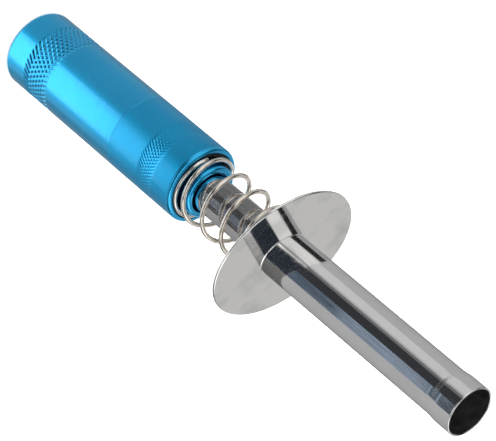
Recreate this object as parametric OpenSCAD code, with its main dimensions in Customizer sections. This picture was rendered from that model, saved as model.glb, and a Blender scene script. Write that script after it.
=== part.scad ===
// Spring-loaded glow plug igniter for nitro model engines.
// It stands on its flat tail: Z runs from the tail (z = 0) to the mouth of the sleeve.
// Every stated z is measured from the tail face, and every radius from the Z axis.

/* [Handle] */
// Outer diameter of both handle halves
handle_d = 22.5; // [22.5:0.1:25]
// Height of the joint line between the two halves
joint_z = 47; // [46:0.5:47.5]
// Height of the front housing's lip, which is the handle's length
lip_z = 73; // [72:0.5:75]
// Thickness of the closed tail end
tail_floor = 3; // [2.5:0.1:3]
// Rounding of the tail edge
tail_round = 1; // [0.3:0.1:1.5]
// Radius inside the battery tube
battery_bore_r = 9; // [8.8:0.05:9]
// Radius of the front housing's threaded spigot
spigot_r = 9.95; // [9.8:0.05:10.1]
// Length of the spigot, from the joint line towards the tail
spigot_len = 8; // [6:0.5:9]

/* [Nose of the handle] */
// Radius of the boss around the shaft
boss_r = 7.7; // [7.2:0.1:7.7]
// Height of the boss's front face
boss_z = 76.5; // [75:0.5:78]
// Inner radius of the lip round the spring recess
lip_inner_r = 9.9; // [9.7:0.1:10]
// Depth of the spring recess below the lip
recess_depth = 0.9; // [0.8:0.1:1.2]
// Outer radius of the deeper groove round the boss
groove_r = 8.4; // [8:0.1:8.5]
// Depth of that groove below the recess
groove_depth = 3; // [1:0.5:5]
// Rounding of the lip's outer edge
lip_round = 1.1; // [0.5:0.1:1.2]
// Radius of the open ring gap between the boss and the shaft
gap_r = 5.95; // [5.9:0.05:6.4]
// Depth of that gap
gap_depth = 4.5; // [3:0.5:6]

/* [Shaft and collet] */
// Outer radius of the chromed inner tube
shaft_r = 5.45; // [5.4:0.01:5.5]
// Inner radius of the inner tube
shaft_bore_r = 4.6; // [4.5:0.1:4.7]
// Height of the collet's tip
collet_z = 165; // [164:0.5:166]
// Length of the collet
collet_len = 21; // [20:0.5:22]
// Radius of the collet's gripping land
grip_r = 2.4; // [2.2:0.05:2.5]
// Width of each slit in the collet
slit_w = 0.7; // [0.5:0.1:1]
// Number of slits
slit_count = 4; // [3:1:5]
// Radius of the centre rod
rod_r = 1.5; // [1.3:0.1:1.5]

/* [Sleeve] */
// Outer radius of the sleeve tube
sleeve_r = 6.7; // [6.6:0.05:6.8]
// Inner radius of the sleeve tube
sleeve_bore_r = 6.2; // [6.2:0.01:6.22]
// Height of the sleeve's mouth, which is the whole length
mouth_z = 175.2; // [172:0.1:178]
// Inner radius of the widened mouth
mouth_bore_r = 6.5; // [6.3:0.05:6.55]
// Length of the widened mouth
mouth_len = 5; // [3:0.5:6]
// Length of the taper behind it
flare_len = 4; // [1:0.5:4]
// Wall of the widened mouth
mouth_wall = 0.5; // [0.4:0.05:0.6]

/* [Finger disc] */
// Radius of the finger disc
disc_r = 21.1; // [18:0.1:23]
// Height of the disc's front face on the axis
disc_z = 106; // [105:0.5:108]
// Thickness of the disc
disc_t = 0.8; // [0.6:0.1:1]
// How far the disc leans from square to the sleeve
disc_lean = 10.2; // [0:0.1:10.5]
// Direction the disc's normal leans towards
disc_lean_dir = 30; // [0:1:359]

/* [Return spring] */
// Mean radius of the coils
spring_r = 9; // [8.8:0.05:9.1]
// Diameter of the wire
spring_wire = 1.3; // [0.7:0.05:1.3]
// Number of turns
spring_turns = 5.4; // [4:0.1:7]
// Turns that lie closed at each end of the spring
dead_turns = 0.82; // [0.5:0.01:0.85]
// Direction in which the wire starts at the foot
spring_start = 227; // [0:1:359]
// How far the foot leans up and down across its radius
foot_lean = 0.45; // [0:0.05:0.5]

/* [Cell] */
// Diameter of the rechargeable cell with its wrap
cell_d = 17; // [16.5:0.1:17.2]
// Length of the cell with its button
cell_len = 43; // [42.5:0.1:43]

/* [Hidden] */
$fn = 96;

handle_r = handle_d / 2;
// Clearance of a running fit, and the end play left at a stop
running = 0.05;
end_play = 0.3;

recess_z = lip_z - recess_depth;

// Cell and the stack of contacts in front of it
cell_z = 7;
cell_top = cell_z + cell_len;
cell_r = cell_d / 2;
wrap_t = 0.2;
can_r = cell_r - wrap_t;
button_r = 3;
button_h = 1.4;
can_top = cell_top - button_h;
plate_t = 1;
plate_r = 5.5;
plate_top = cell_top + plate_t;
nut_flats = 5.5;
nut_h = 2.4;
nut_top = plate_top + nut_h;
washer_t = 1;
washer_r = 7;
washer_top = nut_top + washer_t;
flange_r = 7.5;
seat_z = washer_top + 1;
flange_top = seat_z + 2;

// Inner tube, collet and the sprung contact inside it
collet_base = collet_z - collet_len;
collet_r = sleeve_bore_r - running;
socket_depth = 6;
shaft_top = collet_base + socket_depth;
nose_r = 5.4;
nose_len = 5;
land_len = 4;
relief_r = 2.8;
relief_z = collet_z - 7;
slit_z = shaft_top + 2;
tip_r = 1.2;
tip_flange_r = 1.7;
tip_flange_t = 1.5;
tip_top = relief_z + 2.6;
pocket_r = 1.8;
rod_top = shaft_top + 1;

// Rear bush, stop bush and spring between the disc and the recess
bush_bore_r = shaft_r + running;
sleeve_base = disc_z - 2.4;
bush_flange_r = 7.4;
bush_flange_t = 1.2;
stop_top = collet_base - end_play;
stop_len = 12;
spring_base = recess_z + spring_wire / 2 + foot_lean;
spring_top = disc_z - 3.4;

// A ring or disc between two heights
module ring(r_out, r_in, z0, z1) {
    translate([0, 0, z0]) difference() {
        cylinder(r = r_out, h = z1 - z0);
        if (r_in > 0) translate([0, 0, -1]) cylinder(r = r_in, h = z1 - z0 + 2);
    }
}

// Half profile of a round bar whose end at z0 (or z1) has a rounded edge
module round_bar_profile(r, z0, z1, edge, at_top) {
    edge_z = at_top ? z1 - edge : z0 + edge;
    translate([0, at_top ? z0 : edge_z]) square([r, z1 - z0 - edge]);
    translate([0, at_top ? edge_z : z0]) square([r - edge, edge]);
    translate([r - edge, edge_z]) intersection() {
        circle(r = edge);
        translate([0, -edge]) square([edge, 2 * edge]);
    }
}

// Closed tube of round wire along a list of points, with the rings upright to the coil
module wire(points, wire_r, sides = 8) {
    rings = len(points);
    verts = [
        for (i = [0 : rings - 1])
            let (p = points[i], a = atan2(p[1], p[0]))
                for (k = [0 : sides - 1])
                    let (b = 360 * k / sides, q = wire_r * cos(b))
                        [p[0] + q * cos(a), p[1] + q * sin(a), p[2] + wire_r * sin(b)]
    ];
    walls = [
        for (i = [0 : rings - 2]) for (k = [0 : sides - 1])
            let (n = (k + 1) % sides)
                [i * sides + k, i * sides + n, (i + 1) * sides + n, (i + 1) * sides + k]
    ];
    first = [for (k = [sides - 1 : -1 : 0]) k];
    last = [for (k = [0 : sides - 1]) (rings - 1) * sides + k];
    polyhedron(points = verts, faces = concat(walls, [first, last]), convexity = 12);
}

// Part of a coil's height reached after some turns, flat over the dead turns at both ends
function coil_rise(turn, turns, dead) = min(max((turn - dead) / (turns - 2 * dead), 0), 1);

// Points of a right-handed coil whose radius may change from its foot to its head
function coil(r0, r1, z0, z1, turns, steps, dead = 0, start = 0, lean = 0) = [
    for (i = [0 : turns * steps])
        let (turn = i / steps, r = r0 + (r1 - r0) * turn / turns, a = start + 360 * turn)
            [r * cos(a), r * sin(a), z0 + (z1 - z0) * coil_rise(turn, turns, dead) - lean * cos(a)]
];

// Turns its children so that Z lies along the disc's normal, about the disc's centre
module on_disc() {
    translate([0, 0, disc_z])
        rotate([0, 0, disc_lean_dir]) rotate([0, disc_lean, 0]) rotate([0, 0, -disc_lean_dir])
            children();
}

module rear_tube() {
    color([0.10, 0.62, 0.82]) difference() {
        rotate_extrude() round_bar_profile(handle_r, 0, joint_z, tail_round, false);
        translate([0, 0, tail_floor]) cylinder(r = battery_bore_r, h = joint_z);
        translate([0, 0, joint_z - spigot_len - 0.5]) cylinder(r = spigot_r + running, h = joint_z);
    }
}

module tail_spring() {
    wire_r = 0.35;
    color([0.80, 0.78, 0.72])
        wire(coil(6.2, 3.6, tail_floor + wire_r + 0.05, cell_z - wire_r - 0.05, 3.5, 16), wire_r);
}

module cell_can() {
    color([0.78, 0.79, 0.80]) ring(can_r, 0, cell_z, can_top);
}

module cell_cap() {
    color([0.86, 0.86, 0.84]) ring(button_r, 0, can_top, cell_top);
}

module cell_gasket() {
    color([0.93, 0.93, 0.90]) ring(can_r, button_r + 0.4, can_top, can_top + 0.4);
}

module cell_wrap() {
    color([0.16, 0.55, 0.27]) ring(cell_r, can_r, cell_z, can_top + 0.4);
}

module front_housing() {
    boss_round = 1;
    cavity_base = joint_z - spigot_len;
    color([0.10, 0.62, 0.82]) difference() {
        union() {
            rotate_extrude() round_bar_profile(handle_r, joint_z, lip_z, lip_round, true);
            rotate_extrude() round_bar_profile(boss_r, recess_z - groove_depth - 1, boss_z, boss_round, true);
            ring(spigot_r, 0, cavity_base, joint_z);
        }
        // Spring recess, open to the front, and the groove round the boss
        ring(lip_inner_r, boss_r, recess_z, lip_z + 1);
        ring(groove_r, boss_r, recess_z - groove_depth, recess_z + 1);
        // Cavity for the cell's end and the contact stack
        translate([0, 0, cavity_base - 1]) cylinder(r = battery_bore_r, h = seat_z - cavity_base + 1);
        // Seat for the inner tube's flange, the shaft bore and the open gap in the boss
        translate([0, 0, seat_z - 1]) cylinder(r = flange_r, h = flange_top - seat_z + 1);
        translate([0, 0, seat_z]) cylinder(r = shaft_r, h = lip_z);
        translate([0, 0, boss_z - gap_depth]) cylinder(r = gap_r, h = gap_depth + 1);
    }
}

module contact_plate() {
    color([0.80, 0.66, 0.30]) ring(plate_r, 0, cell_top, plate_top);
}

module terminal_nut() {
    color([0.80, 0.66, 0.30]) difference() {
        translate([0, 0, plate_top]) cylinder(d = nut_flats / cos(30), h = nut_h, $fn = 6);
        cylinder(r = rod_r, h = nut_top + 1);
    }
}

module insulating_washer() {
    color([0.55, 0.20, 0.12]) ring(washer_r, rod_r, nut_top, washer_top);
}

module rear_insulator() {
    bush_len = 8;
    color([0.93, 0.93, 0.90]) difference() {
        union() {
            ring(washer_r, 0, washer_top, seat_z);
            ring(shaft_bore_r, 0, washer_top, seat_z + bush_len);
        }
        cylinder(r = rod_r, h = collet_z);
    }
}

module inner_tube() {
    color([0.80, 0.81, 0.83]) difference() {
        union() {
            ring(flange_r, 0, seat_z, flange_top);
            ring(shaft_r, 0, seat_z, shaft_top);
        }
        cylinder(r = shaft_bore_r, h = collet_z);
    }
}

// Split wire ring that holds the inner tube in the boss
module retaining_ring() {
    gap = boss_z - gap_depth;
    color([0.75, 0.75, 0.74]) difference() {
        ring(gap_r - 0.15, shaft_r, gap, gap + 0.8);
        rotate([0, 0, 35]) translate([0, -1, gap - 1]) cube([gap_r + 1, 2, 3]);
    }
}

module centre_rod() {
    color([0.80, 0.66, 0.30]) ring(rod_r, 0, plate_top, rod_top);
}

module spacer_bush() {
    color([0.93, 0.93, 0.90]) ring(shaft_bore_r, rod_r, disc_z - 6, disc_z);
}

module tip_insulator() {
    color([0.93, 0.93, 0.90]) difference() {
        ring(shaft_bore_r, 0, shaft_top, relief_z);
        translate([0, 0, shaft_top - 1]) cylinder(r = pocket_r, h = relief_z - shaft_top);
        cylinder(r = tip_r + running, h = collet_z);
    }
}

module contact_tip() {
    flange_top_z = relief_z - 1 - 0.02;
    point_round = 0.6;
    color([0.80, 0.66, 0.30]) {
        ring(tip_flange_r, 0, flange_top_z - tip_flange_t, flange_top_z);
        rotate_extrude() round_bar_profile(tip_r, flange_top_z - 0.5, tip_top, point_round, true);
    }
}

module contact_spring() {
    wire_r = 0.18;
    seat = relief_z - 1 - tip_flange_t;
    color([0.80, 0.78, 0.72])
        wire(coil(1.3, 1.3, rod_top + wire_r + 0.05, seat - wire_r - 0.1, 6, 12), wire_r, 6);
}

module collet() {
    color([0.72, 0.73, 0.74]) difference() {
        union() {
            ring(collet_r, 0, collet_base, collet_z - nose_len);
            translate([0, 0, collet_z - nose_len]) cylinder(r1 = collet_r, r2 = nose_r, h = nose_len);
        }
        cylinder(r = shaft_r, h = shaft_top);
        cylinder(r = shaft_bore_r, h = relief_z);
        cylinder(r = relief_r, h = collet_z - land_len);
        cylinder(r = grip_r, h = collet_z + 1);
        for (i = [0 : slit_count - 1])
            rotate([0, 0, 45 + 360 * i / slit_count])
                translate([0, -slit_w / 2, slit_z]) cube([collet_r + 1, slit_w, collet_len]);
    }
}

module return_spring() {
    color([0.82, 0.79, 0.74])
        wire(coil(spring_r, spring_r, spring_base, spring_top, spring_turns, 24, dead_turns,
                  spring_start, foot_lean), spring_wire / 2);
}

module finger_disc() {
    color([0.82, 0.82, 0.80]) difference() {
        on_disc() translate([0, 0, -disc_t]) cylinder(r = disc_r, h = disc_t);
        translate([0, 0, sleeve_base]) cylinder(r = sleeve_r, h = mouth_z);
    }
}

// Thin bright fillet of solder where the sleeve meets the disc's front face
module solder_ring() {
    fillet = 0.35;
    color([0.86, 0.86, 0.86]) difference() {
        on_disc() cylinder(r = sleeve_r + fillet, h = fillet);
        translate([0, 0, sleeve_base]) cylinder(r = sleeve_r, h = mouth_z);
    }
}

module rear_bush() {
    color([0.80, 0.66, 0.30]) {
        ring(bush_flange_r, bush_bore_r, sleeve_base - bush_flange_t, sleeve_base);
        ring(sleeve_bore_r, bush_bore_r, sleeve_base - bush_flange_t, sleeve_base + 6);
    }
}

module stop_bush() {
    color([0.80, 0.66, 0.30]) ring(sleeve_bore_r, bush_bore_r, stop_top - stop_len, stop_top);
}

module sleeve_tube() {
    mouth_base = mouth_z - mouth_len;
    flare_base = mouth_base - flare_len;
    mouth_r = mouth_bore_r + mouth_wall;
    color([0.80, 0.81, 0.83]) difference() {
        union() {
            ring(sleeve_r, 0, sleeve_base, flare_base);
            translate([0, 0, flare_base]) cylinder(r1 = sleeve_r, r2 = mouth_r, h = flare_len);
            ring(mouth_r, 0, mouth_base, mouth_z);
        }
        translate([0, 0, sleeve_base - 1]) cylinder(r = sleeve_bore_r, h = flare_base - sleeve_base + 1);
        translate([0, 0, flare_base]) cylinder(r1 = sleeve_bore_r, r2 = mouth_bore_r, h = flare_len);
        translate([0, 0, mouth_base]) cylinder(r = mouth_bore_r, h = mouth_len + 1);
    }
}

rear_tube();
tail_spring();
cell_can();
cell_cap();
cell_gasket();
cell_wrap();
front_housing();
contact_plate();
terminal_nut();
insulating_washer();
rear_insulator();
inner_tube();
retaining_ring();
centre_rod();
spacer_bush();
tip_insulator();
contact_tip();
contact_spring();
collet();
return_spring();
finger_disc();
solder_ring();
rear_bush();
stop_bush();
sleeve_tube();
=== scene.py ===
# Glow plug igniter, standing on its tail. Lengths in this script are in millimetres unless a
# name says otherwise, and MM turns them into the frame's metres when a mesh is made.
import math

import bpy
import numpy as np
from mathutils import Matrix, Vector


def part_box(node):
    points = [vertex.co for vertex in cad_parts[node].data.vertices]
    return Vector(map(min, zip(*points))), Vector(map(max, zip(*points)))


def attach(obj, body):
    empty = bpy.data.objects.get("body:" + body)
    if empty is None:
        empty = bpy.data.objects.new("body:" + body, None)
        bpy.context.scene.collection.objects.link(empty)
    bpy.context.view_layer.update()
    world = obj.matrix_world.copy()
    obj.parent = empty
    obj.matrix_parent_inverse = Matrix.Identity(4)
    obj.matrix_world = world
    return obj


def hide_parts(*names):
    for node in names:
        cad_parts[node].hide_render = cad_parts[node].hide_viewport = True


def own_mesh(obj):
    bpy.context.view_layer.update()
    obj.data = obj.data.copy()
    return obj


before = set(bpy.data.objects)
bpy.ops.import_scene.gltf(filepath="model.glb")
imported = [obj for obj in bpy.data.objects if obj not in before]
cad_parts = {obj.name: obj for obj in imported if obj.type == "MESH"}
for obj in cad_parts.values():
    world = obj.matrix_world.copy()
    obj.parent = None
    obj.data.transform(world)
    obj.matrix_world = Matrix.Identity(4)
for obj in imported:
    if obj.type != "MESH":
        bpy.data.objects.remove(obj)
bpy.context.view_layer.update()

MM = 0.001
TAU = 2 * math.pi


# ---------------------------------------------------------------- sizes read from the frame
def low_high(node):
    """Lowest and highest corner of a CAD node, in millimetres."""
    low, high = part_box(node)
    return low / MM, high / MM


rear_low, rear_high = low_high("rear_tube")
front_low, front_high = low_high("front_housing")
shaft_low, shaft_high = low_high("inner_tube")
sleeve_low, sleeve_high = low_high("sleeve_tube")
bush_low, bush_high = low_high("stop_bush")
disc_low, disc_high = low_high("finger_disc")
tail_coil_low, tail_coil_high = low_high("tail_spring")
tip_coil_low, tip_coil_high = low_high("contact_spring")

handle_r = rear_high.x
joint_z = rear_high.z
spigot_z = front_low.z
spigot_r = 9.95
screw_clearance = 0.06
battery_bore_r = 9.0
tail_floor = 3.0
tail_round = 1.0
edge_round = 0.1

boss_z = front_high.z
lip_z = boss_z - 3.5
lip_round = 1.1
lip_inner_r = 9.9
recess_z = lip_z - 0.9
groove_r = 8.4
groove_z = recess_z - 3.0
boss_r = 7.7
boss_round = 1.0
gap_r = 5.95
gap_z = boss_z - 4.5

seat_z = shaft_low.z
flange_r = shaft_high.x
flange_z = seat_z + 2.0
shaft_r = 5.45
shaft_bore_r = 4.6
shaft_z = shaft_high.z

mouth_z = sleeve_high.z
mouth_r = sleeve_high.x
mouth_wall = 0.5
sleeve_z = sleeve_low.z
sleeve_r = 6.7
sleeve_bore_r = bush_high.x
flare_low = mouth_z - 9.0
flare_high = mouth_z - 5.0

disc_r = 21.1
disc_t = 0.8
disc_lean = math.radians(10.2)
disc_lean_dir = math.radians(30)
disc_centre = 0.5 * (disc_low + disc_high)
disc_normal = Vector((
    math.sin(disc_lean) * math.cos(disc_lean_dir),
    math.sin(disc_lean) * math.sin(disc_lean_dir),
    math.cos(disc_lean),
))
disc_face_z = disc_centre.z + 0.5 * disc_t / math.cos(disc_lean)

wire_r = 0.65
spring_r = 9.0


# ---------------------------------------------------------------- mesh helpers
def arc(centre_r, centre_z, radius, start, end, steps):
    """Points of an arc in the (radius, height) plane, from start to end degrees."""
    angles = np.radians(np.linspace(start, end, steps + 1))
    return [(centre_r + radius * math.cos(a), centre_z + radius * math.sin(a)) for a in angles]


def line(r0, z0, r1, z1, steps, guard=0.12):
    """Points of a straight stretch, without its first point. A row close to each end keeps the
    shading of a rounded edge from spreading over the straight part."""
    length = math.hypot(r1 - r0, z1 - z0)
    shares = {i / steps for i in range(1, steps + 1)}
    if length > 4 * guard:
        shares |= {guard / length, 1 - guard / length}
    return [(r0 + (r1 - r0) * t, z0 + (z1 - z0) * t) for t in sorted(shares)]


def ease(t):
    """Smooth step from 0 to 1."""
    t = np.clip(t, 0.0, 1.0)
    return t * t * (3 - 2 * t)


def make_piece(name, verts, faces, materials, marks=None, sharp=38):
    """Mesh object from points in millimetres, smooth but for its sharp edges. marks holds each
    face's material number."""
    mesh = bpy.data.meshes.new(name)
    mesh.from_pydata((np.asarray(verts) * MM).tolist(), [], faces)
    for material in materials:
        mesh.materials.append(material)
    if marks is not None:
        mesh.polygons.foreach_set("material_index", marks)
    mesh.shade_smooth()
    mesh.set_sharp_from_angle(angle=math.radians(sharp))
    mesh.update()
    piece = bpy.data.objects.new(name, mesh)
    bpy.context.collection.objects.link(piece)
    return piece


def lathe(name, outline, columns, materials, relief=None, place=None, inside=(), edges=(), sharp=38):
    """Solid turned from an outline of (radius, height) points that runs outwards, up and back in.
    It starts and ends on the axis, or closes on itself. relief(angle, r, z) gives new radii, and
    inside and edges hold the rows that take the second and the third material."""
    radii, heights = np.array(outline, float).T
    on_axis = radii[0] < 1e-6
    angles = np.arange(columns) * TAU / columns
    verts = []
    rows = []
    for r, z in zip(radii, heights):
        start = len(verts)
        if r < 1e-6:
            verts.append((0.0, 0.0, z))
            rows.append([start] * columns)
            continue
        ring = np.full(columns, r) if relief is None else relief(angles, r, z)
        for a, q in zip(angles, ring):
            verts.append((q * math.cos(a), q * math.sin(a), z))
        rows.append(list(range(start, start + columns)))
    faces = []
    marks = []
    pairs = len(rows) - 1 if on_axis else len(rows)
    for i in range(pairs):
        lower, upper = rows[i], rows[(i + 1) % len(rows)]
        for k in range(columns):
            n = (k + 1) % columns
            corners = [lower[k], lower[n], upper[n], upper[k]]
            faces.append([c for j, c in enumerate(corners) if c not in corners[:j]])
            marks.append(1 if i in inside else 2 if i in edges else 0)
    verts = np.array(verts)
    if place is not None:
        turn = np.array(place.to_3x3())
        verts = verts @ turn.T + np.array(place.translation)
    return make_piece(name, verts, faces, materials, marks if inside else None, sharp)


def wire_piece(name, path, radius, sides, material):
    """Round wire along a coil's points, with slightly rounded cut ends."""
    path = np.asarray(path, float)
    count = len(path)
    girth = np.full(count, radius)
    girth[0] = girth[-1] = 0.72 * radius
    girth[1] = girth[-2] = radius
    path[1] = path[0] + (path[1] - path[0]) * 0.25
    path[-2] = path[-1] + (path[-2] - path[-1]) * 0.25
    verts = []
    for point, g in zip(path, girth):
        around = math.atan2(point[1], point[0])
        outward = np.array((math.cos(around), math.sin(around), 0.0))
        for k in range(sides):
            b = TAU * k / sides
            verts.append(point + outward * (g * math.cos(b)) + np.array((0, 0, g * math.sin(b))))
    faces = []
    for i in range(count - 1):
        for k in range(sides):
            n = (k + 1) % sides
            faces.append([i * sides + k, i * sides + n, (i + 1) * sides + n, (i + 1) * sides + k])
    faces.append(list(range(sides - 1, -1, -1)))
    faces.append([(count - 1) * sides + k for k in range(sides)])
    return make_piece(name, verts, faces, [material])


# ---------------------------------------------------------------- surface relief
def groove(phase, width):
    """V groove of unit depth at whole phases; width is the share of the pitch that it takes."""
    away = np.abs(phase - np.round(phase))
    return np.clip(1 - away / (0.5 * width), 0, 1)


def knurl(angle, z, low, high, lines, depth, fade):
    """Depth of a diamond knurl of two crossing sets of grooves, which run out at its edges."""
    helix = math.tan(math.radians(31)) / handle_r
    cut = np.zeros_like(angle)
    for side, shift in ((1, 0.45 * fade), (-1, -0.45 * fade)):
        phase = lines * (angle + side * helix * (z - low)) / TAU
        reach = ease((z - low - shift) / fade) * ease((high + shift - z) / fade)
        cut = np.maximum(cut, reach * groove(phase, 0.86))
    return depth * cut


def thread(angle, z, depth, pitch=1.5):
    """Depth of a right-handed screw thread below its crest."""
    return depth * groove(z / pitch - angle / TAU, 1.0)


# ---------------------------------------------------------------- material helpers
class Shader:
    """A new material with its Principled shader and small helpers for its texture nodes."""

    def __init__(self, name, colour, metallic=0.0, roughness=0.4, **constants):
        self.material = bpy.data.materials.new(name)
        self.material.use_nodes = True
        self.tree = self.material.node_tree
        self.main = self.tree.nodes["Principled BSDF"]
        self.main.inputs["Base Color"].default_value = (*colour, 1)
        self.main.inputs["Metallic"].default_value = metallic
        self.main.inputs["Roughness"].default_value = roughness
        for socket, value in constants.items():
            self.main.inputs[socket.replace("_", " ")].default_value = value
        self.coordinates = self.node("ShaderNodeTexCoord").outputs["Object"]
        self.height = None

    def node(self, kind, **settings):
        made = self.tree.nodes.new(kind)
        for key, value in settings.items():
            setattr(made, key, value)
        return made

    def link(self, source, target):
        self.tree.links.new(source, target)

    def noise(self, per_mm, detail=3, stretch=(1, 1, 1), vector=None):
        """Noise with that many features per millimetre along each axis."""
        scaled = self.node("ShaderNodeVectorMath", operation="MULTIPLY")
        self.link(vector or self.coordinates, scaled.inputs[0])
        scaled.inputs[1].default_value = [per_mm * s / MM for s in stretch]
        texture = self.node("ShaderNodeTexNoise")
        texture.inputs["Scale"].default_value = 1
        texture.inputs["Detail"].default_value = detail
        self.link(scaled.outputs[0], texture.inputs["Vector"])
        return texture.outputs["Fac"]

    def turned(self):
        """Vector of (distance from the axis, 0, height), for marks left by turning."""
        split = self.node("ShaderNodeSeparateXYZ")
        self.link(self.coordinates, split.inputs[0])
        flat = self.node("ShaderNodeCombineXYZ")
        self.link(split.outputs["X"], flat.inputs["X"])
        self.link(split.outputs["Y"], flat.inputs["Y"])
        away = self.node("ShaderNodeVectorMath", operation="LENGTH")
        self.link(flat.outputs[0], away.inputs[0])
        joined = self.node("ShaderNodeCombineXYZ")
        self.link(away.outputs["Value"], joined.inputs["X"])
        self.link(split.outputs["Z"], joined.inputs["Z"])
        return joined.outputs[0]

    def spread(self, value, low, high, start=0.3, stop=0.7):
        """A texture's values from start to stop, spread over low to high."""
        mapped = self.node("ShaderNodeMapRange")
        self.link(value, mapped.inputs["Value"])
        for socket, number in (("From Min", start), ("From Max", stop),
                               ("To Min", low), ("To Max", high)):
            mapped.inputs[socket].default_value = number
        return mapped.outputs["Result"]

    def tint(self, value, dark, light, start=0.3, stop=0.7):
        """Base colour that varies between two colours with a texture."""
        ramp = self.node("ShaderNodeValToRGB")
        ramp.color_ramp.elements[0].position = start
        ramp.color_ramp.elements[0].color = (*dark, 1)
        ramp.color_ramp.elements[1].position = stop
        ramp.color_ramp.elements[1].color = (*light, 1)
        self.link(value, ramp.inputs[0])
        self.link(ramp.outputs["Color"], self.main.inputs["Base Color"])

    def rough(self, value, low, high):
        self.link(self.spread(value, low, high), self.main.inputs["Roughness"])

    def bump(self, value, height_mm, strength=1.0):
        """Adds a bump of that height; later bumps lie on top of earlier ones."""
        made = self.node("ShaderNodeBump")
        made.inputs["Distance"].default_value = height_mm * MM
        made.inputs["Strength"].default_value = strength
        self.link(value, made.inputs["Height"])
        if self.height is not None:
            self.link(self.height, made.inputs["Normal"])
        self.height = made.outputs["Normal"]
        self.link(self.height, self.main.inputs["Normal"])


# ---------------------------------------------------------------- materials
def blue_anodised(name, roughness, coat):
    """Satin blue anodised aluminium with fine turning marks and a faint mottle."""
    s = Shader(name, (0.004, 0.46, 0.88), metallic=1, roughness=roughness,
               Specular_Tint=(0.35, 0.85, 1.0, 1), Anisotropic=0.6,
               Coat_Weight=coat, Coat_Roughness=0.14, Coat_IOR=1.5)
    s.tint(s.noise(0.06, detail=3), (0.003, 0.445, 0.850), (0.007, 0.480, 0.910))
    s.rough(s.noise(0.5, detail=3), roughness - 0.02, roughness + 0.02)
    s.bump(s.noise(7, detail=2, vector=s.turned()), 0.0014, 0.5)
    s.bump(s.noise(2.5, detail=2), 0.0005, 0.3)
    return s.material


def chrome():
    """Bright plated steel with hairline polishing marks and fine pits."""
    base = (0.755, 0.755, 0.765)
    s = Shader("chrome_tube", base, metallic=1, roughness=0.07, Specular_Tint=(0.72, 0.72, 0.74, 1))
    s.tint(s.noise(0.15, detail=4), tuple(0.93 * c for c in base), base)
    s.rough(s.noise(1.5, detail=4, stretch=(1, 1, 0.2)), 0.04, 0.12)
    s.bump(s.noise(3.2, detail=3, vector=s.turned()), 0.0008, 0.5)
    s.bump(s.noise(2.4, detail=5), 0.0012, 0.45)
    return s.material


def polished_disc():
    """Polished plate with faint smears and a creamy cast."""
    s = Shader("polished_disc", (0.83, 0.82, 0.79), metallic=1, roughness=0.06)
    s.tint(s.noise(0.11, detail=6), (0.68, 0.68, 0.66), (0.86, 0.85, 0.825), 0.34, 0.54)
    s.rough(s.noise(0.16, detail=5, stretch=(1, 2.2, 1)), 0.035, 0.14)
    s.bump(s.noise(0.35, detail=2), 0.004, 0.25)
    s.bump(s.noise(3, detail=4), 0.0008, 0.4)
    return s.material


def spring_wire():
    """Drawn nickelled wire with a warm cast."""
    s = Shader("spring_wire", (0.86, 0.81, 0.74), metallic=1, roughness=0.12)
    s.tint(s.noise(0.5, detail=3), (0.66, 0.60, 0.52), (0.92, 0.87, 0.80))
    s.rough(s.noise(2, detail=3), 0.05, 0.13)
    s.bump(s.noise(5, detail=3, stretch=(0.4, 0.4, 2)), 0.004, 0.6)
    return s.material


def bright_turned(name, dark, light, low, high):
    """Turned bar metal between two tones, with tool marks."""
    s = Shader(name, light, metallic=1, roughness=0.25)
    s.tint(s.noise(0.5, detail=3), dark, light)
    s.rough(s.noise(1.2, detail=3), low, high)
    s.bump(s.noise(6, detail=2, vector=s.turned()), 0.004, 0.7)
    return s.material


def moulded(name, dark, light, roughness, grain):
    """Moulded plastic or pressed fibre with a fine grain."""
    s = Shader(name, light, roughness=roughness)
    s.tint(s.noise(0.6, detail=4), dark, light)
    s.rough(s.noise(1.0, detail=3), roughness - 0.08, roughness + 0.1)
    s.bump(s.noise(grain, detail=4), 0.01, 0.5)
    return s.material


def painted_shade_bore():
    """Near-black painted shade for the inside of the sleeve and the floors of the handle's recesses."""
    s = Shader("painted_shade_bore", (0.012, 0.012, 0.013), metallic=0.2, roughness=0.5)
    s.tint(s.noise(0.4, detail=4), (0.006, 0.006, 0.007), (0.024, 0.023, 0.023))
    s.rough(s.noise(1.0, detail=3), 0.4, 0.62)
    s.bump(s.noise(3, detail=3, vector=s.turned()), 0.004, 0.6)
    return s.material


def pale_floor():
    """Plain matt white."""
    s = Shader("pale_floor", (0.92, 0.92, 0.92), roughness=1.0, Specular_IOR_Level=0.0)
    return s.material


def glow(name, colour, level, mottle=0.0):
    """Light surface for a studio card, even or with a mottle that runs across it."""
    material = bpy.data.materials.new(name)
    material.use_nodes = True
    tree = material.node_tree
    tree.nodes.remove(tree.nodes["Principled BSDF"])
    light = tree.nodes.new("ShaderNodeEmission")
    light.inputs["Color"].default_value = (*colour, 1)
    light.inputs["Strength"].default_value = level
    tree.links.new(light.outputs[0], tree.nodes["Material Output"].inputs["Surface"])
    if mottle:
        place = tree.nodes.new("ShaderNodeTexCoord").outputs["Object"]
        scaled = tree.nodes.new("ShaderNodeVectorMath")
        scaled.operation = "MULTIPLY"
        scaled.inputs[1].default_value = (24, 24, 260)
        texture = tree.nodes.new("ShaderNodeTexNoise")
        texture.inputs["Scale"].default_value = 1
        texture.inputs["Detail"].default_value = 8
        texture.inputs["Roughness"].default_value = 0.72
        mapped = tree.nodes.new("ShaderNodeMapRange")
        for socket, number in (("From Min", 0.35), ("From Max", 0.65),
                               ("To Min", level * (1 - mottle)), ("To Max", level * (1 + mottle))):
            mapped.inputs[socket].default_value = number
        tree.links.new(place, scaled.inputs[0])
        tree.links.new(scaled.outputs[0], texture.inputs["Vector"])
        tree.links.new(texture.outputs["Fac"], mapped.inputs["Value"])
        tree.links.new(mapped.outputs["Result"], light.inputs["Strength"])
    return material


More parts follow.
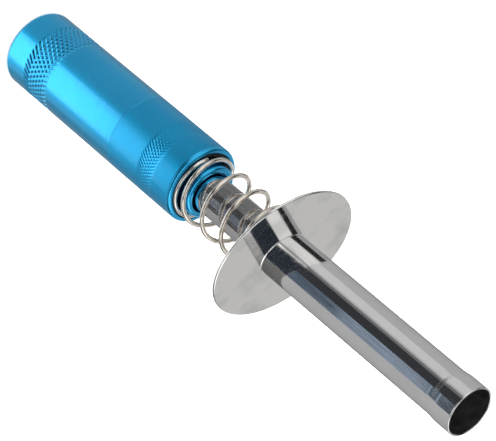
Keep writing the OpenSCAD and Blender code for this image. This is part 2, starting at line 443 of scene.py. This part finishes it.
rear_blue = blue_anodised("blue_anodised", 0.26, 0.8)
front_blue = blue_anodised("blue_anodised_satin", 0.36, 0.6)
edge_blue = blue_anodised("blue_anodised_edge", 0.24, 0.9)
plating = chrome()
polish = polished_disc()
wire = spring_wire()
# Near-black painted shade for the sleeve's bore and the handle's recess, groove and gap floors.
shade_paint = painted_shade_bore()
steel = bright_turned("collet_steel", (0.50, 0.51, 0.52), (0.66, 0.67, 0.68), 0.18, 0.32)
brass = bright_turned("brass_parts", (0.70, 0.48, 0.18), (0.83, 0.62, 0.28), 0.16, 0.30)
cell_metal = bright_turned("cell_steel", (0.60, 0.61, 0.62), (0.74, 0.75, 0.75), 0.15, 0.28)
nylon = moulded("white_nylon", (0.80, 0.79, 0.74), (0.88, 0.87, 0.83), 0.45, 2.5)
fibre = moulded("fibre_washer", (0.22, 0.05, 0.03), (0.36, 0.10, 0.06), 0.62, 1.6)
film = moulded("cell_sleeve", (0.03, 0.20, 0.07), (0.05, 0.28, 0.10), 0.30, 0.8)


# ---------------------------------------------------------------- handle
REAR_KNURL = (8.6, 18.2)
REAR_LINES = 48
FRONT_KNURL = (59.4, 65.2)
FRONT_LINES = 72
THREAD_DEPTH = 0.42
# A groove's bottom at the free end of each thread, clear of the other half at every turn
thread_low = spigot_z + 0.8
thread_high = joint_z - 0.9


def rear_relief(angle, r, z):
    """Knurl on the outside and the female thread in the mouth of the rear half."""
    if r > handle_r - 0.01:
        return r - knurl(angle, z, *REAR_KNURL, REAR_LINES, 0.26, 1.3)
    if thread_low < z < joint_z and abs(r - spigot_r - screw_clearance) < 0.01:
        return r - THREAD_DEPTH + thread(angle, z, THREAD_DEPTH)
    return np.full_like(angle, r)


def front_relief(angle, r, z):
    """Finer knurl on the outside and the male thread on the spigot."""
    if r > handle_r - 0.01:
        return r - knurl(angle, z, *FRONT_KNURL, FRONT_LINES, 0.085, 1.2)
    if z < thread_high and abs(r - spigot_r) < 0.01:
        return r - THREAD_DEPTH + thread(angle, z, THREAD_DEPTH)
    return np.full_like(angle, r)


def rear_half():
    """Closed tail, knurled grip band and threaded mouth."""
    band_low, band_high = REAR_KNURL[0] - 1, REAR_KNURL[1] + 1
    bore = spigot_r + screw_clearance
    seat = spigot_z - 0.5
    outline = [(0, 0), (3.0, 0), (handle_r - tail_round - 2, 0)]
    outline += arc(handle_r - tail_round, tail_round, tail_round, -90, 0, 8)
    outline += line(handle_r, tail_round, handle_r, band_low, 3)
    outline += line(handle_r, band_low, handle_r, band_high, 46)
    outline += line(handle_r, band_high, handle_r, joint_z - edge_round, 8)
    outline += arc(handle_r - edge_round, joint_z - edge_round, edge_round, 0, 90, 4)
    outline += [(bore + 0.3, joint_z), (bore, joint_z - 0.3)]
    outline += line(bore, joint_z - 0.3, bore, seat, 44)
    outline += [(battery_bore_r, seat)]
    outline += line(battery_bore_r, seat, battery_bore_r, tail_floor, 6)
    outline += [(0, tail_floor)]
    piece = lathe("knurled_rear", outline, 8 * REAR_LINES, [rear_blue], rear_relief)
    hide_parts("rear_tube")
    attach(piece, "rear_half")


def front_half():
    """Threaded spigot, finer knurl band, rounded lip, spring recess and boss."""
    band_low, band_high = FRONT_KNURL[0] - 0.7, FRONT_KNURL[1] + 0.7
    relief_r = spigot_r - THREAD_DEPTH - 0.05
    inner = 0.12
    outline = [(battery_bore_r, spigot_z), (relief_r, spigot_z), (spigot_r, spigot_z + 0.5)]
    outline += line(spigot_r, spigot_z + 0.5, spigot_r, thread_high - 0.2, 40)
    outline += [(relief_r, thread_high), (relief_r, joint_z)]
    outline += arc(handle_r - edge_round, joint_z + edge_round, edge_round, -90, 0, 4)
    outline += line(handle_r, joint_z + edge_round, handle_r, band_low, 6)
    outline += line(handle_r, band_low, handle_r, band_high, 36)
    outline += line(handle_r, band_high, handle_r, lip_z - lip_round, 3)
    lip_start = len(outline)
    outline += arc(handle_r - lip_round, lip_z - lip_round, lip_round, 0, 90, 12)
    lip_end = len(outline)
    outline += arc(lip_inner_r + inner, lip_z - inner, inner, 90, 180, 3)
    outline += line(lip_inner_r, lip_z - inner, lip_inner_r, recess_z + 0.1, 3)
    recess_start = len(outline) - 1
    outline += [(lip_inner_r - 0.1, recess_z), (groove_r + 0.05, recess_z), (groove_r, recess_z - 0.05)]
    outline += [(groove_r, groove_z), (boss_r, groove_z), (boss_r, recess_z)]
    recess_end = len(outline) - 1
    outline += line(boss_r, recess_z, boss_r, boss_z - boss_round, 5)
    boss_start = len(outline)
    outline += arc(boss_r - boss_round, boss_z - boss_round, boss_round, 0, 90, 10)
    outline += arc(gap_r + 0.4, boss_z - 0.4, 0.4, 90, 180, 6)
    boss_end = len(outline)
    outline += line(gap_r, boss_z - 0.4, gap_r, gap_z, 3)
    gap_start = len(outline) - 1
    outline += [(shaft_r, gap_z), (shaft_r, flange_z), (flange_r, flange_z), (flange_r, seat_z)]
    outline += [(battery_bore_r, seat_z)]
    # The recess, groove and gap floor rows take the near-black painted shade.
    shaded = [*range(recess_start, recess_end), *range(gap_start, gap_start + 2)]
    edges = [*range(lip_start, lip_end), *range(boss_start, boss_end)]
    piece = lathe("front_shell", outline, 7 * FRONT_LINES, [front_blue, shade_paint, edge_blue],
                  front_relief, inside=shaded, edges=edges)
    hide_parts("front_housing")
    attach(piece, "front_half")


# ---------------------------------------------------------------- shaft, sleeve and disc
def inner_shaft():
    """Chromed inner tube with its flange."""
    outline = [(shaft_bore_r, seat_z), (flange_r - 0.2, seat_z), (flange_r, seat_z + 0.2)]
    outline += [(flange_r, flange_z - 0.2), (flange_r - 0.2, flange_z), (shaft_r, flange_z)]
    outline += line(shaft_r, flange_z, shaft_r, shaft_z - 0.2, 24)
    outline += [(shaft_r - 0.2, shaft_z), (shaft_bore_r, shaft_z)]
    piece = lathe("bright_shaft", outline, 144, [plating])
    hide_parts("inner_tube")
    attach(piece, "front_half")


def sliding_sleeve():
    """Chromed sleeve with its gently widened mouth, a rolled rim and a bore painted near-black as shade."""
    steps = 14
    lip = 0.5 * mouth_wall
    mouth_bore_r = mouth_r - mouth_wall

    def flare(i):
        return float(ease(i / steps))

    outline = [(sleeve_r, sleeve_z)]
    outline += line(sleeve_r, sleeve_z, sleeve_r, flare_low, 20)
    rise = flare_high - flare_low
    outline += [(sleeve_r + (mouth_r - sleeve_r) * flare(i), flare_low + rise * i / steps)
                for i in range(1, steps + 1)]
    outline += line(mouth_r, flare_high, mouth_r, mouth_z - lip, 3)
    outline += arc(mouth_r - lip, mouth_z - lip, lip, 15, 165, 10)
    bore_start = len(outline) - 2
    outline += line(mouth_bore_r, mouth_z - lip, mouth_bore_r, flare_high, 3)
    outline += [(mouth_bore_r - (mouth_bore_r - sleeve_bore_r) * flare(i), flare_high - rise * i / steps)
                for i in range(1, steps + 1)]
    outline += line(sleeve_bore_r, flare_low, sleeve_bore_r, sleeve_z, 8)
    # The bore rows take the near-black painted shade.
    piece = lathe("chrome_sleeve", outline, 192, [plating, shade_paint], inside=range(bore_start, len(outline) - 1))
    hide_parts("sleeve_tube")
    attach(piece, "sleeve")


disc_place = (
    Matrix.Translation((0, 0, disc_face_z))
    @ Matrix.Rotation(disc_lean_dir, 4, "Z")
    @ Matrix.Rotation(disc_lean, 4, "Y")
    @ Matrix.Rotation(-disc_lean_dir, 4, "Z")
)


def mirror_disc():
    """Thin polished finger disc with a fully rounded rim."""
    rim = 0.5 * disc_t
    hole = sleeve_r + 0.02
    outline = [(hole, -disc_t)]
    outline += line(hole, -disc_t, disc_r - rim, -disc_t, 10)
    outline += arc(disc_r - rim, -rim, rim, -75, 90, 12)
    outline += line(disc_r - rim, 0, hole, 0, 10)
    piece = lathe("mirror_disc", outline, 256, [polish], place=disc_place, sharp=50)
    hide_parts("finger_disc")
    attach(piece, "sleeve")


def solder_fillet():
    """Bright hollow fillet between the disc and the sleeve."""
    fillet = 0.42
    root = sleeve_r - 0.05
    outline = [(root, -0.1), (root + fillet, -0.1)]
    outline += arc(root + fillet, fillet, fillet, -90, -180, 8)
    piece = lathe("solder_fillet", outline, 160, [polish], place=disc_place, sharp=60)
    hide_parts("solder_ring")
    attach(piece, "sleeve")


# ---------------------------------------------------------------- springs
def coil_rise(turn, turns, dead):
    """Part of a coil's height reached after some turns, flat over the dead turns at both ends."""
    return min(max((turn - dead) / (turns - 2 * dead), 0), 1)


def return_spring():
    """Open coil between the recess and the disc's back; its last turn lies against the disc."""
    turns = 5.4
    dead = 0.82
    first_angle = math.radians(-133)
    foot_lean = 0.45
    steps = 56
    low = recess_z + wire_r + foot_lean
    high = disc_face_z - 3.4
    pressed = 0.9
    soft = (-0.16, -0.08, 0, 0.08, 0.16)
    back_z = disc_face_z - (disc_t + wire_r) / math.cos(disc_lean)
    path = []
    for i in range(int(turns * steps) + 1):
        turn = i / steps
        a = first_angle + TAU * turn
        x = spring_r * math.cos(a)
        y = spring_r * math.sin(a)
        rise = sum(coil_rise(turn + d, turns, dead) for d in soft) / len(soft)
        z = low + (high - low) * rise - foot_lean * math.cos(a)
        against = back_z - (disc_normal.x * x + disc_normal.y * y) / disc_normal.z
        closing = float(ease((turn - turns + pressed) / pressed))
        path.append((x, y, z + closing * (against - z)))
    piece = wire_piece("smooth_return_spring", path, wire_r, 14, wire)
    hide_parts("return_spring")
    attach(piece, "front_half")
    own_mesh(piece)


def small_spring(name, node, body, r0, r1, low, high, turns, radius):
    """Small coil between two heights."""
    steps = 32
    count = int(turns * steps)
    path = []
    for i in range(count + 1):
        t = i / count
        a = TAU * turns * t
        r = r0 + (r1 - r0) * t
        path.append((r * math.cos(a), r * math.sin(a), low + (high - low) * t))
    piece = wire_piece(name, path, radius, 10, wire)
    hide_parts(node)
    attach(piece, body)
    return piece


def small_springs():
    """Conical tail spring under the cell, and the spring behind the contact tip."""
    tail_wire = 0.35
    small_spring("tail_cone_spring", "tail_spring", "rear_half", 6.2, 3.6,
                 tail_coil_low.z + tail_wire, tail_coil_high.z - tail_wire, 3.5, tail_wire)
    tip_wire = 0.18
    low = tip_coil_low.z + tip_wire
    high = tip_coil_high.z - tip_wire
    piece = small_spring("tip_coil_spring", "contact_spring", "front_half", 1.3, 1.3,
                         low, high, 6, tip_wire)
    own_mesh(piece)


# ---------------------------------------------------------------- CAD pieces that stay
def dress_cad_nodes():
    """Gives each CAD piece that is still shown its material."""
    wardrobe = {
        steel: ("collet", "retaining_ring"),
        brass: ("contact_plate", "terminal_nut", "centre_rod", "contact_tip", "rear_bush", "stop_bush"),
        nylon: ("rear_insulator", "spacer_bush", "tip_insulator", "cell_gasket"),
        fibre: ("insulating_washer",),
        cell_metal: ("cell_can", "cell_cap"),
        film: ("cell_wrap",),
    }
    for material, nodes in wardrobe.items():
        for node in nodes:
            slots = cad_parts[node].material_slots
            for slot in slots:
                slot.material = material


rear_half()
front_half()
inner_shaft()
sliding_sleeve()
mirror_disc()
solder_fillet()
return_spring()
small_springs()
dress_cad_nodes()


# ---------------------------------------------------------------- studio
def stage_piece(name, verts, faces, material, unseen_by):
    """Piece of the studio, in metres, that the named kinds of ray pass through."""
    mesh = bpy.data.meshes.new(name)
    mesh.from_pydata(verts, [], faces)
    mesh.materials.append(material)
    piece = bpy.data.objects.new(name, mesh)
    bpy.context.collection.objects.link(piece)
    for ray in unseen_by:
        setattr(piece, f"visible_{ray}", False)


def floor():
    """Pale floor that the object stands on; metal doesn't mirror it."""
    size = 9.0
    corners = [(-size, -size, 0), (size, -size, 0), (size, size, 0), (-size, size, 0)]
    stage_piece("floor", corners, [[0, 1, 2, 3]], pale_floor(), ("glossy",))


def backdrop():
    """Pale surround far behind the object that only the camera sees, so that low views have the
    same background as high ones."""
    radius = 7.0  # metres, as is the height
    height = 7.0
    steps = 96
    verts = []
    for k in range(steps):
        a = TAU * k / steps
        for z in (0, height):
            verts.append((radius * math.cos(a), radius * math.sin(a), z))
    count = len(verts)
    faces = [[2 * k, 2 * k + 1, (2 * k + 3) % count, (2 * k + 2) % count] for k in range(steps)]
    stage_piece("backdrop", verts, faces, glow("backdrop", (1, 1, 1), 1.1),
                ("diffuse", "glossy", "shadow", "transmission"))


# Distance of the light cards from the axis, and the heights between which the sleeve, the shaft,
# the front half, the rear half and the satin metal's wide reflections see them, in metres
CARD_R = 0.4
SLEEVE_BAND = (-0.170, -0.02)
SHAFT_BAND = (-0.222, -0.172)
FRONT_BAND = (-0.262, -0.224)
REAR_BAND = (-0.38, -0.264)
SATIN_BAND = (-0.9, -0.382)
LOW_VIEW_BAND = (-0.018, 0.095)


def card(name, from_az, to_az, low, high, level, colour=(1, 1, 1), mottle=0.0):
    """Curved card round the object that only reflections see. Azimuth 0 is towards the camera
    and 90 is towards +X; heights are in metres."""
    steps = max(2, int(abs(to_az - from_az) / 4))
    verts = []
    for i in range(steps + 1):
        a = math.radians(from_az + (to_az - from_az) * i / steps)
        for z in (low, high):
            verts.append((CARD_R * math.sin(a), -CARD_R * math.cos(a), z))
    faces = [[2 * i, 2 * i + 2, 2 * i + 3, 2 * i + 1] for i in range(steps)]
    stage_piece(name, verts, faces, glow(name, colour, level, mottle),
                ("camera", "diffuse", "shadow", "transmission"))


def sleeve_cards():
    """What the sleeve mirrors: a dark stripe, a mottled blue-grey one and a bright one."""
    card("sleeve_flag", -19, 17, *SLEEVE_BAND, 0.045, (0.95, 1.0, 1.1))
    card("sleeve_fall", -30, -19, *SLEEVE_BAND, 0.19)
    card("sleeve_dim_low", 17, 61, -0.170, -0.112, 0.15, (0.70, 0.92, 1.2), 0.9)
    card("sleeve_dim_mid", 17, 61, -0.112, -0.054, 0.36, (0.76, 0.92, 1.15), 0.8)
    card("sleeve_dim_top", 17, 61, -0.054, -0.02, 0.13, (0.80, 0.92, 1.1), 0.8)
    card("sleeve_bright", -74, -38, *SLEEVE_BAND, 0.70)
    card("sleeve_far", 146, 214, *SLEEVE_BAND, 0.38)


def shaft_cards():
    """The narrower band below, which the inner tube mirrors."""
    card("shaft_far_right", -180, -130, *SHAFT_BAND, 0.35)
    card("shaft_right", -130, -80, *SHAFT_BAND, 0.19)
    card("shaft_mid_right", -80, -24, *SHAFT_BAND, 0.155)
    card("shaft_flag", -24, 11, *SHAFT_BAND, 0.06)
    card("shaft_dim", 11, 50, *SHAFT_BAND, 0.17, (0.85, 0.95, 1.1))
    card("shaft_line", 50, 76, *SHAFT_BAND, 0.07)
    card("shaft_left", 76, 180, *SHAFT_BAND, 0.38)


def handle_cards():
    """What the handle's gloss shows, and what its satin metal gathers."""
    card("front_gloss_dark", -130, 12, *FRONT_BAND, 0.56)
    card("front_gloss_low", 12, 80, -0.262, -0.243, 1.1)
    card("front_gloss_high", 12, 80, -0.243, -0.224, 1.9)
    card("gloss_dark", -130, -3, *REAR_BAND, 0.50)
    card("gloss_bright", -3, 76, *REAR_BAND, 2.05)
    card("gloss_fade", 76, 108, *REAR_BAND, 0.7)
    card("gloss_far", 108, 230, REAR_BAND[0], FRONT_BAND[1], 0.36)
    card("satin_dark", -175, -3, *SATIN_BAND, 0.65)
    card("satin_bright", -3, 76, *SATIN_BAND, 1.5)
    card("satin_far", 76, 185, *SATIN_BAND, 0.95)


def upper_cards():
    """What the disc, its mirror image of the sleeve and the rounded edges show."""
    card("upper_flag", -24, 70, 0.15, 0.52, 0.045, (0.7, 0.9, 1.25))
    card("upper_bright", -88, -26, 0.2, 0.7, 1.05)
    card("upper_dark", -128, -94, 0.2, 1.0, 0.03)
    card("upper_far", -180, -130, 0.5, 1.0, 0.22)
    card("upper_grey", 68, 150, 0.10, 0.27, 0.20)
    card("side_light", 68, 150, 0.29, 0.60, 1.6)
    card("disc_wall", 152, 205, 0.12, 0.7, 0.56)
    card("edge_light", -12, 66, 0.54, 0.82, 1.7)


def low_view_cards():
    """Strips at the object's own height, which only a low view shows in the metal."""
    strips = ((-176, -150, 1.3), (-142, -120, 0.07), (-64, -36, 1.2), (-22, 4, 0.07),
              (22, 58, 1.3), (100, 124, 0.08), (134, 164, 1.2))
    for i, (from_az, to_az, level) in enumerate(strips):
        card(f"strip_{i}", from_az, to_az, *LOW_VIEW_BAND, level)


def studio():
    """Even pale surround, a large soft light over the object and reflection cards round it."""
    world = bpy.data.worlds.new("studio")
    bpy.context.scene.world = world
    world.use_nodes = True
    world.node_tree.nodes["Background"].inputs["Color"].default_value = (1, 1, 1, 1)
    world.node_tree.nodes["Background"].inputs["Strength"].default_value = 0.52
    light = bpy.data.lights.new("soft_top", "SUN")
    light.angle = math.radians(110)
    light.energy = 5.0
    lamp = bpy.data.objects.new("soft_top", light)
    lamp.rotation_euler = (math.radians(12), math.radians(6), 0)
    lamp.visible_glossy = False
    bpy.context.collection.objects.link(lamp)
    sleeve_cards()
    shaft_cards()
    handle_cards()
    upper_cards()
    low_view_cards()


def camera():
    """Camera on the -Y side, rolled so that the object lies across the frame."""
    elevation = math.radians(34.95)
    roll = math.radians(130.17)
    distance = 0.637
    aim = Vector((-0.0008, 0, 0.0909))
    forward = Vector((0, math.cos(elevation), -math.sin(elevation)))
    level_right = Vector((1, 0, 0))
    level_up = Vector((0, math.sin(elevation), math.cos(elevation)))
    right = math.cos(roll) * level_right + math.sin(roll) * level_up
    up = -math.sin(roll) * level_right + math.cos(roll) * level_up
    data = bpy.data.cameras.new("camera")
    data.sensor_width = 36
    data.lens = 181.45
    data.clip_start = 0.01
    viewer = bpy.data.objects.new("camera", data)
    place = Matrix((right, up, -forward)).transposed().to_4x4()
    place.translation = aim - forward * distance
    viewer.matrix_world = place
    bpy.context.collection.objects.link(viewer)
    bpy.context.scene.camera = viewer


floor()
backdrop()
studio()
camera()
bpy.context.scene.view_settings.view_transform = "Standard"
